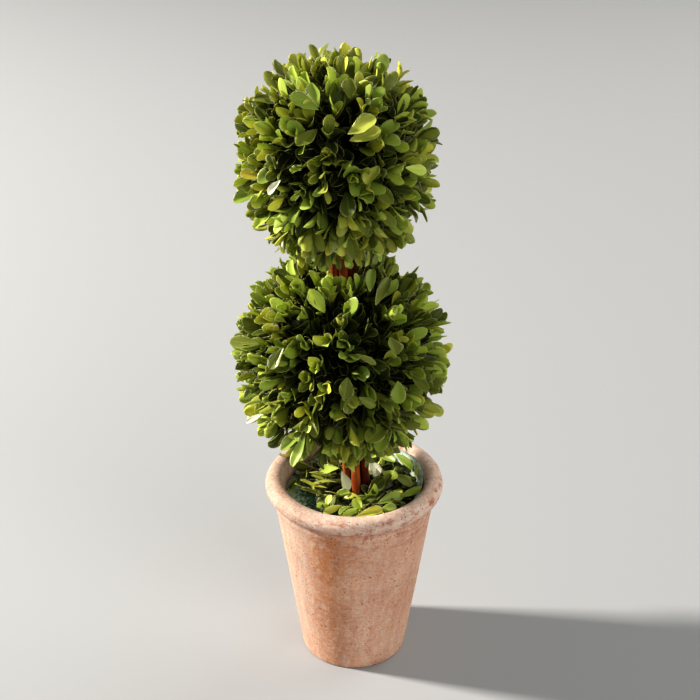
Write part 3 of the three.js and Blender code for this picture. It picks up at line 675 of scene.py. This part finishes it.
def leaves(root, along, normal, length, width, bend, form, draw, channel):
    """Points of leaves, as an array of leaves by points by 3. Each leaf starts at root and sets
    off along one direction with its upper face towards normal. Its fold, curl and twist are drawn
    between the limits in form."""
    fold = between(form["fold"], chance(draw, channel))
    curl = between(form["curl"], chance(draw, channel + 1))
    twist = between(form["twist"], chance(draw, channel + 2))
    wave = 6.3 * chance(draw, channel + 3)
    u, v, face = LEAF_POINTS.T
    across = np.cross(normal, along)
    # The outline of a spoon: narrow at the foot, widest past the middle, blunt at the tip.
    outline = np.sin(np.pi * u**1.62) ** 0.53
    outline = np.where(u < 0.1, np.maximum(outline, 0.09) * (u > 0), outline) * (u < 1)
    half = 0.5 * width[:, None] * outline
    y = v * half
    # Height over the flat leaf: a fold along the rib, a rippled and curled margin, and its body.
    valley = (np.sqrt(v * v + 0.03) - 0.17) * half
    ripple = np.sin(u * 7 + wave[:, None]) * v * v * half
    rise = fold[:, None] * valley + 0.16 * ripple + curl[:, None] * v * v * half
    body = LEAF_THICKNESS * 0.5 * (1 - v * v) * np.sqrt(np.clip(outline, 0, 1))
    rise = rise + face * body
    # The bend grows towards the tip, and the twist turns each row of points about the rib.
    turn = bend[:, None] * u * (0.4 + 0.6 * u)
    reach = length[:, None] * u * np.sinc(turn / np.pi)
    drop = length[:, None] * u * (1 - np.cos(turn)) / np.where(turn == 0, 1, turn) * (turn != 0)
    spin = twist[:, None] * (u - 0.2)
    side = across[:, None] * np.cos(spin)[..., None] + normal[:, None] * np.sin(spin)[..., None]
    up = normal[:, None] * np.cos(spin)[..., None] - across[:, None] * np.sin(spin)[..., None]
    lean = up * np.cos(turn)[..., None] - along[:, None] * np.sin(turn)[..., None]
    line = root[:, None] + along[:, None] * reach[..., None] + normal[:, None] * drop[..., None]
    return line + side * y[..., None] + lean * rise[..., None]


def rolled(normal, along, angle):
    """Where a leaf's upper face looks once the leaf has rolled about its own length."""
    angle = angle[:, None]
    return normal * np.cos(angle) + np.cross(normal, along) * np.sin(angle)


def sprig_directions(count, seed):
    """Even steps of the golden angle over the ball, each a little astray."""
    i = np.arange(count)
    height = 1 - 2 * (i + 0.5) / count
    around = np.sqrt(1 - height**2)
    turn = i * GOLDEN_ANGLE + seed
    way = np.stack([around * np.cos(turn), around * np.sin(turn), height], 1)
    stray = np.stack([chance(i, seed + c) - 0.5 for c in range(3)], 1)
    return unit(way + 2 * SPRIG_STRAY * stray)


def beside_sticks(points):
    """Moves each row of points sideways until it is clear of the bundle. Returns the points and
    how deep each row still lies inside the bundle, as a share of its half width."""
    for _ in range(2):
        x, y = bundle_middle(points[..., 2])
        size = bundle_size(points[..., 2])
        across = (points[..., 0] - x) / (CHANNEL_HALF_WIDTH * size + CLEARANCE)
        deep = (points[..., 1] - y) / (CHANNEL_HALF_DEPTH * size + CLEARANCE)
        depth = np.where(points[..., 2] < STICK_TOP + 1, 1 - np.hypot(across, deep), -1).max(1)
        away = unit(np.stack([(points[..., 0] - x).mean(1), (points[..., 1] - y).mean(1)], 1))
        shift = away * (np.maximum(depth, 0) * CHANNEL_HALF_WIDTH)[:, None]
        points = points + np.pad(shift, ((0, 0), (0, 1)))[:, None]
    return points, depth


def tint_numbers(names):
    """The numbers of tints, in the order of their materials."""
    return np.array([list(LEAF_TINTS).index(name) for name in names])


def tint_of(draw, weights):
    """Number of the tint that a share from 0 to 1 stands for, by how common each tint is."""
    shares = np.cumsum(list(weights.values())) / sum(weights.values())
    return tint_numbers(weights)[np.searchsorted(shares, draw)]


def reach_of(points, ball):
    """How far out points lie in a ball, where 1 is its clipped outline."""
    away = points - ball["middle"]
    level = np.hypot(away[..., 0], away[..., 1])
    high = np.abs(away[..., 2] / ball["half_height"])
    shares = (level / ball["radius"]) ** FULLNESS + high**FULLNESS
    way, at_sticks, slope = ball["hollow"]
    end = (way * away[..., 2] - slope * level) / at_sticks
    return np.maximum(shares ** (1 / FULLNESS), end)


def grow_layer(ball, seed, tints, layer):
    """Leaves and stems of one layer of sprigs: (leaf points, leaf tints, stem paths)."""
    centre = ball["middle"]
    i = np.arange(ball["sprigs"])
    way = sprig_directions(len(i), seed)
    outline = 1 / reach_of(centre + way, ball)
    foot = outline * CORE_SHARE
    tip = outline * between(layer["stem"], chance(i, seed + 4))
    side = unit(np.cross([0.36, 0.48, 0.8], way))
    other = np.cross(way, side)
    start = 2 * np.pi * chance(i, seed + 5)
    sprig_tints = tint_of(chance(i, seed + 6), tints)
    points, colours = [], []
    for pair, (pair_spread, pair_climb) in enumerate(layer["pairs"]):
        for arm in range(2):
            draw = (i * 3 + pair) * 2 + arm
            stray = TURN_STRAY * (chance(draw, seed + 7) - 0.5)
            turn = start + pair * np.pi / 2 + arm * np.pi + stray
            out = side * np.cos(turn)[:, None] + other * np.sin(turn)[:, None]
            spread = pair_spread + SPREAD_STRAY * (chance(draw, seed + 8) - 0.5)
            spread = np.radians(spread * ball["openness"])
            along = way * np.cos(spread)[:, None] + out * np.sin(spread)[:, None]
            normal = way * np.sin(spread)[:, None] - out * np.cos(spread)[:, None]
            normal = rolled(normal, along, ROLL_STRAY * (chance(draw, seed + 9) - 0.5))
            length = between(LEAF_LENGTH, chance(draw, seed + 10))
            length = length * between((1.0, TIP_LEAF_SHARE), pair_climb)
            climb = pair_climb + CLIMB_STRAY * (chance(draw, seed + 21) - 0.5)
            root = centre + way * (foot + (tip - foot) * climb)[:, None]
            width = length * between(LEAF_SHAPE, chance(draw, seed + 11))
            bend = between(LEAF_BEND, chance(draw, seed + 12))
            blades = leaves(root, along, normal, length, width, bend, GROWN_FORM, draw, seed + 13)
            points.append(blades)
            own = tint_of(chance(draw, seed + 18), tints if pair else SHADED_OLD_TINTS)
            differs = (pair == 0) | (chance(draw, seed + 17) < OWN_TINT_SHARE)
            colours.append(np.where(differs, own, sprig_tints))
    points, colours = np.stack(points, 1), np.stack(colours, 1)
    # Clipping: each sprig is pulled in until its outermost leaf tip lies on the clipped outline.
    reach = reach_of(points, ball).max(axis=(1, 2))
    wanted = between(layer["reach"], chance(i, seed + 19))
    pull = way * (np.maximum(reach - wanted, 0) * outline)[:, None]
    points = (points - pull[:, None, None]).reshape(-1, len(LEAF_POINTS), 3)
    points, inside = beside_sticks(points)
    keep = (inside < STICK_TOUCH) & (reach_of(points, ball).max(axis=1) <= OUTLINE_LIMIT)
    low = centre + way * (foot - STEM_ROOT)[:, None]
    ends = np.stack([low, centre + way * tip[:, None] - pull], 1)
    steps = np.linspace(0, 1, 4)[None, :, None]
    bow = side * (STEM_BOW * (chance(i, seed + 20) - 0.5))[:, None]
    paths = ends[:, :1] + (ends[:, 1:] - ends[:, :1]) * steps + bow[:, None] * np.sin(np.pi * steps)
    stems, inside = beside_sticks(paths)
    return points[keep], colours.reshape(-1)[keep], stems[inside < STICK_TOUCH]


def young_stem(name, tones):
    """Soft young shoot: smooth and ribbed, yellow-green, or browner where it has dried."""
    material, shader, add = new_material(name, roughness=0.5)
    place = add("TexCoord", {}, "Object")
    shade = add("TexNoise", {"Vector": place, "Scale": 1 / (16 * MM)})
    green = add("ValToRGB", {0: shade}, stops=zip((0.38, 0.52, 0.66), tones))
    feed(shader, {"Base Color": green})
    return material


def foam_core():
    """Green foam under the sprigs, furred with broken leaf bases: matt and nearly black."""
    material, shader, add = new_material("foam_core", roughness=0.95, ior=1.3)
    place = add("TexCoord", {}, "Object")
    shade = add("TexNoise", {"Vector": place, "Scale": 1 / (4 * MM), "Detail": 5.0})
    stops = [(0.35, "#0b0f06"), (0.6, "#1b240f"), (0.75, "#2b3716")]
    feed(shader, {"Base Color": add("ValToRGB", {0: shade}, stops=stops)})
    return material


LEAF_MATERIALS = leaf_materials()
STEM_MATERIAL = young_stem("green_stem", ("#6d6a2a", "#97a040", "#b3ba58"))
CORE_MATERIAL = foam_core()
MOST_TRIANGLES = 199000


def leaf_pieces(name, points, colours):
    """Joins leaves into as few pieces as the most triangles of one piece allow."""
    made = []
    parts = math.ceil(len(points) / (MOST_TRIANGLES // len(LEAF_TRIANGLES)))
    for number in range(parts):
        some, tints = points[number::parts], colours[number::parts]
        first = (np.arange(len(some)) * len(LEAF_POINTS))[:, None, None]
        triangles = (LEAF_TRIANGLES[None] + first).reshape(-1, 3)
        slots = (tints[:, None] * 3 + LEAF_SHOWS[None]).ravel()
        part = f"{name}_{number + 1}"
        made.append(piece(part, some.reshape(-1, 3), triangles, LEAF_MATERIALS, slots))
    return made


def core_ball(name, ball):
    """The foam ball under the sprigs, lumpy with leaf bases. The sticks go through it."""
    angle = np.linspace(-np.pi / 2, np.pi / 2, 60)
    centre = ball["middle"]
    size = np.array([ball["radius"], ball["radius"], ball["half_height"]]) * CORE_SHARE
    points, triangles = turned([(math.cos(a), math.sin(a)) for a in angle], 90)
    lumpy = 1 + CORE_LUMPS * lumps(points, 0.3, ball["seed"])
    points = points * (size * lumpy[:, None]) + centre
    return piece(name, points, triangles, [CORE_MATERIAL])


def placed_leaves(rows, face):
    """Points and tints of single leaves, given one by one."""
    feet, tips, roll, share, bend, tints = zip(*rows)
    feet, tips = np.array(feet, float), np.array(tips, float)
    along = unit(tips - feet)
    up = unit(face - along * (along @ face)[:, None])
    # A bent leaf is a little longer than the line from its foot to its tip.
    length = np.linalg.norm(tips - feet, axis=1) * 1.04
    normal = rolled(up, along, np.radians(roll))
    width, bend = length * np.array(share), np.array(bend)
    draw = np.arange(len(feet))
    points = leaves(feet, along, normal, length, width, bend, PLACED_FORM, draw, 60)
    return points, tint_numbers(tints)


def dress_ball(ball, node):
    """Makes the pieces of one ball, which stand for its frame node."""
    outer = grow_layer(ball, ball["seed"], ball["tints"], OUTER_SPRIGS)
    inner = grow_layer(ball, ball["seed"] + 40, SHADED_OLD_TINTS, INNER_SPRIGS)
    points, colours, stems = (np.concatenate(parts) for parts in zip(outer, inner))
    single, single_tints = placed_leaves(ball["single_leaves"], SINGLE_LEAF_FACE)
    apart = points.mean(axis=1)[:, None] - single.mean(axis=1)[None]
    clear = np.linalg.norm(apart, axis=2).min(axis=1) > SINGLE_LEAF_ROOM
    points = np.concatenate([points[clear], single])
    colours = np.concatenate([colours[clear], single_tints])
    blades = leaf_pieces(f"boxwood_leaves_{ball['name']}", points, colours)
    radii = np.linspace(*STEM_RADII, stems.shape[1])[None, :, None]
    stem_points, stem_triangles = tubes(stems, radii, 5)
    twigs = piece(f"boxwood_stems_{ball['name']}", stem_points, stem_triangles, [STEM_MATERIAL])
    core = core_ball(f"foam_core_{ball['name']}", ball)
    for made in [*blades, twigs, core]:
        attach(made, "root")
        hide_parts(node)


dress_ball(LOWER_BALL, "ball_lower")


# The upper ball. Made like the lower one, a little smaller and slightly taller than wide, and
# pushed down on the tips of the sticks.
UPPER_BALL = {
    "name": "upper",
    "middle": (-13.3, 0, 432),
    "radius": 77.5,
    "half_height": 80.5,
    "hollow": (-1, 84.0, -0.22),
    "sprigs": 235,
    "openness": 1.0,
    "seed": 11,
    "tints": {"olive": 6, "dark": 4, "green": 4, "deep": 5, "yellow_green": 4, "fresh": 3},
    "single_leaves": (
        ((-26, -42, 382), (-33, -40, 369), 20, 0.45, 0.2, "deep"),
        ((-20, -40, 378), (-28, -36, 362), -30, 0.5, 0.2, "olive"),
        ((-15, -38, 376), (-20, -34, 361), 10, 0.5, 0.2, "green"),
        ((-12, -36, 373), (-10, -32, 360), -25, 0.45, 0.2, "deep"),
        ((-5, -34, 371), (-3, -30, 360), 15, 0.5, 0.2, "green"),
        ((0, -34, 371), (5, -30, 362), -30, 0.45, 0.2, "olive"),
        ((-5, -61, 471), (14, -58, 480), 0, 0.58, 0.2, "olive"),
        ((-4, -60, 466), (17, -58, 472), -10, 0.5, 0.2, "olive"),
        ((-3, -42, 489), (-3, -40, 503), 0, 0.75, 0.2, "deep"),
        ((-24, -50, 484), (-43, -44, 491), -10, 0.5, 0.2, "green"),
        ((-24, -48, 485), (-28, -42, 500), 10, 0.6, 0.2, "green"),
        ((-64, -43, 433), (-78, -38, 435), 0, 0.5, 0.2, "gold"),
        # This whitish leaf is partly a painted highlight.
        ((-50, -58, 438), (-58, -60, 428), 0, 0.45, 0.1, "pale_highlit"),
        ((34, -48, 443), (48, -44, 438), 0, 0.5, 0.2, "fresh"),
        ((16, -55, 447), (8, -73, 439), 0, 0.56, 0.2, "olive"),
        ((-6, -58, 430), (-3, -74, 417), 0, 0.56, 0.2, "dark"),
        ((12, -53, 435), (26, -64, 423), 0, 0.42, 0.2, "deep"),
        ((-25, -50, 471), (-38, -65, 464), 0, 0.52, 0.1, "deep"),
        ((-40, -43, 465), (-49, -54, 481), 0, 0.52, 0.1, "green"),
    ),
}
dress_ball(UPPER_BALL, "ball_upper")


# The loose leaves. Boxwood leaves and snippets of stem strewn over the foam to hide it. They lie
# thick in front and on the right, and thin on the left, where the foam shows between slivers.
STREWN_COUNT = 300
STREWN_DEPTH = 5.0
STREWN_RADII = (9, 50)
STREWN_LENGTH = (13, 20)
STREWN_SHAPE = (0.34, 0.5)
STREWN_ROLL_STRAY = 2.6
STREWN_BEND = (-0.9, 0.9)
STREWN_FORM = {"fold": (0.0, 0.6), "curl": (-0.2, 0.6), "twist": (-0.8, 0.8)}
SHADED_OLD_SHARE = 0.72
UPSIDE_DOWN_SHARE = 0.35
# Places on the foam where hardly any leaves lie, and the share of leaves that they lack.
BARE_PLACES = ((-48.0, 12.0), (-45.0, -14.0), (-35.0, -31.0))
BARE_RADIUS = 16.5
BARE_SHARE = 0.9
LOOSE_TINTS = {"olive": 4, "dark": 3, "green": 3, "deep": 4, "yellow_green": 2, "fresh": 1}
# The leaves that lie on top: foot, tip, roll in degrees, width as a share of length, bend, tint.
TOP_LEAVES = (
    # The first three are whitish, partly as painted highlight where sun glints off them.
    ((-10, -11, 174), (-5, -13, 158), -15, 0.5, 0.2, "pale_highlit"),
    ((13, 14, 168), (20, 9, 157), -30, 0.75, 0.5, "pale_highlit"),
    ((23, 12, 162), (14, 7, 157), 30, 0.6, 0.9, "pale_highlit"),
    ((23, 10, 159), (34, 2, 161), -10, 0.62, -0.4, "fresh"),
    ((31, 9, 158), (46, -4, 158), 10, 0.5, -0.3, "deep"),
    ((11, -12, 154), (24, -4, 163), -30, 0.62, 0.7, "dark"),
    ((17, -14, 154), (31, 0, 160), 15, 0.45, 0.5, "deep"),
    ((18, -29, 155), (39, -19, 158), -20, 0.4, -0.4, "green"),
    ((40, -15, 155), (56, -6, 161), -45, 0.3, 0.3, "fresh"),
    ((35, -19, 154), (53, -14, 160), -35, 0.3, 0.3, "green"),
    ((34, 30, 164), (47, 18, 158), 10, 0.5, -0.3, "fresh"),
    ((22, 34, 161), (34, 24, 158), -10, 0.5, 0.4, "green"),
    ((26, 40, 161), (12, 36, 157), 20, 0.5, 0.4, "fresh"),
    ((50, 6, 155), (52, 13, 163), 70, 0.5, 0.2, "yellow_green"),
    ((1, -48, 156), (22, -41, 159), -28, 0.32, -0.3, "yellow_green"),
    ((20, -40, 156), (33, -36, 159), -10, 0.5, -0.5, "green"),
    ((6, -41, 155), (1, -33, 163), 40, 0.7, 0.5, "fresh"),
    ((6, -22, 155), (-11, -20, 159), 30, 0.38, -1.0, "yellow_green"),
    ((-22, -33, 154), (-17, -27, 161), 25, 0.7, 0.3, "fresh"),
    ((-20, -31, 156), (-30, -40, 157), 10, 0.5, 0.4, "fresh"),
    ((-9, -33, 156), (-22, -44, 158), 38, 0.34, -0.4, "yellow_green"),
    ((-1, -35, 157), (-12, -45, 159), -30, 0.36, -0.4, "green"),
    ((5, -37, 156), (-8, -49, 158), 30, 0.34, -0.4, "fresh"),
    ((-12, 10, 163), (-27, 11, 157), -5, 0.7, 0.2, "fresh"),
    ((-21, -10, 157), (-43, -7, 159), -28, 0.34, 0.3, "yellow_green"),
    ((-13, -3, 158), (-34, -3, 159), -35, 0.35, -0.3, "olive"),
    ((-30, -12, 156), (-48, -13, 159), -35, 0.3, 0.4, "yellow_green"),
    ((-24, -17, 155), (-42, -17, 158), -30, 0.32, 0.3, "deep"),
    ((-15, 6, 157), (-36, 4, 159), -32, 0.3, 0.3, "olive"),
    ((-18, -20, 156), (-4, -27, 158), 40, 0.4, 0.5, "deep"),
    ((-52, 1, 153), (-51, 13, 160), 70, 0.5, 0.3, "deep"),
    ((-45, 14, 152), (-50, -4, 154), 80, 0.4, -0.3, "dark"),
)
# Snippets of stem that lie on top: foot, tip and radius.
LOOSE_TWIGS = (
    ((-61, 27, 165.8), (-27, 15, 156), 1.0),
    ((-30, 22, 155), (-46, 12, 154), 0.6),
    ((16, 22, 159), (27, 7, 158), 0.6),
    ((22, 24, 161), (17, 8, 157), 0.55),
    ((-24, -12, 155), (-12, -20, 157), 0.6),
    ((-40, 2, 152), (-49, 16, 155), 0.55),
    ((30, -8, 154), (18, -25, 156), 0.6),
)


def strewn_leaves():
    """Points and tints of leaves that lie on the foam at all angles, each resting a little
    higher than the ones before it. The lowest are near black: old leaves, and painted shade in the
    gaps under the others."""
    i = np.arange(STREWN_COUNT)
    turn = i * GOLDEN_ANGLE
    out = between(STREWN_RADII, np.sqrt(chance(i, 40)))
    x, y = out * np.cos(turn), out * np.sin(turn)
    heading = 2 * np.pi * chance(i, 41)
    slope = between((-0.3, 0.8), chance(i, 42))
    along = unit(np.stack([np.cos(heading), np.sin(heading), slope], 1))
    up = unit(np.array([0, 0, 1.0]) - along * along[:, 2:])
    normal = rolled(up, along, STREWN_ROLL_STRAY * (chance(i, 43) - 0.5))
    normal *= np.where(chance(i, 44) < UPSIDE_DOWN_SHARE, -1, 1)[:, None]
    length = between(STREWN_LENGTH, chance(i, 45))
    root = np.stack([x, y, FOAM_TOP + 0.8 + STREWN_DEPTH * i / STREWN_COUNT], 1)
    root -= along * length[:, None] * 0.5
    width = length * between(STREWN_SHAPE, chance(i, 46))
    bend = between(STREWN_BEND, chance(i, 47))
    points = leaves(root, along, normal, length, width, bend, STREWN_FORM, i, 48)
    points[..., 2] += np.maximum(FOAM_TOP + 0.2 - points[..., 2].min(1), 0)[:, None]
    bare = np.min([np.hypot(x - a, y - b) for a, b in BARE_PLACES], axis=0) < BARE_RADIUS
    tints = tint_of(chance(i, 53), LOOSE_TINTS)
    # The lowest leaves take the near-black tint, as painted shade in the gaps under the others.
    tints = np.where(i < SHADED_OLD_SHARE * STREWN_COUNT, tint_numbers(["shaded_old"]), tints)
    kept = ~(bare & (chance(i, 52) < BARE_SHARE))
    return points[kept], tints[kept]


strewn, top = strewn_leaves(), placed_leaves(TOP_LEAVES, (0, -0.3, 1.0))
litter_points, inside = beside_sticks(np.concatenate([strewn[0], top[0]]))
litter_tints = np.concatenate([strewn[1], top[1]])
litter_radius = np.hypot(litter_points[..., 0], litter_points[..., 1])
in_pot = litter_radius < inner_radius(litter_points[..., 2]) - CLEARANCE
kept = (inside < STICK_TOUCH) & (in_pot.all(1) | (litter_points[..., 2].min(1) > POT_HEIGHT))
litter = leaf_pieces("loose_boxwood_leaves", litter_points[kept], litter_tints[kept])

feet, tips, thick = (np.array(part, float) for part in zip(*LOOSE_TWIGS))
steps = np.linspace(0, 1, 6)[None, :, None]
twig_paths = feet[:, None] + (tips - feet)[:, None] * steps
twig_paths[..., 2] += 1.2 * np.sin(np.pi * steps[..., 0])
twig_radii = thick[:, None, None] * np.linspace(1, 0.7, 6)[:, None]
twig_points, twig_triangles = tubes(twig_paths, twig_radii, 6)
dry_stem = young_stem("dry_stem", ("#4a4022", "#6f6a30", "#8a8742"))
litter.append(piece("loose_twigs", twig_points, twig_triangles, [dry_stem]))
for made in litter:
    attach(made, "root")
    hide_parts("loose_leaves")


# The studio. A floor of pale paper, a small bright key light from the left and a little behind,
# as low afternoon sun falls, and two large soft lights: a weak fill from the front right, and
# one from behind right, as a pale wall throws light back.
FLOOR_SIZE = 6000


def studio_floor():
    """Matt pale paper."""
    material, shader, _ = new_material("pale_floor", roughness=0.85)
    feed(shader, {"Base Color": linear("#a9adb2")})
    return material


def area_light(name, place, aim, size, power, colour):
    """A soft square light at a place, in metres, that looks at a point."""
    data = bpy.data.lights.new(name, "AREA")
    data.shape = "SQUARE"
    data.size = size
    data.energy = power
    data.color = linear(colour)[:3]
    light = bpy.data.objects.new(name, data)
    light.location = place
    light.rotation_euler = (Vector(aim) - Vector(place)).to_track_quat("-Z", "Y").to_euler()
    bpy.context.scene.collection.objects.link(light)


half = FLOOR_SIZE / 2
corners = [(-half, -half, 0), (half, -half, 0), (half, half, 0), (-half, half, 0)]
floor = piece("floor", corners, [(0, 1, 2), (0, 2, 3)], [studio_floor()])
area_light("key", (-3.75, 0.65, 2.15), (0, 0, 0.27), 0.4, 288, "#fff6ea")
area_light("fill", (1.7, -2.3, 2.0), (0, 0, 0.25), 2.2, 34, "#fffaf2")
area_light("wall", (2.2, 1.5, 1.5), (0, 0, 0.22), 2.2, 28, "#fffaf2")
world = bpy.data.worlds.new("studio")
world.use_nodes = True
feed(world.node_tree.nodes["Background"], {"Color": linear("#f2efe8"), "Strength": 0.27})
bpy.context.scene.world = world
bpy.context.scene.view_settings.view_transform = "Standard"
bpy.context.scene.view_settings.look = "High Contrast"
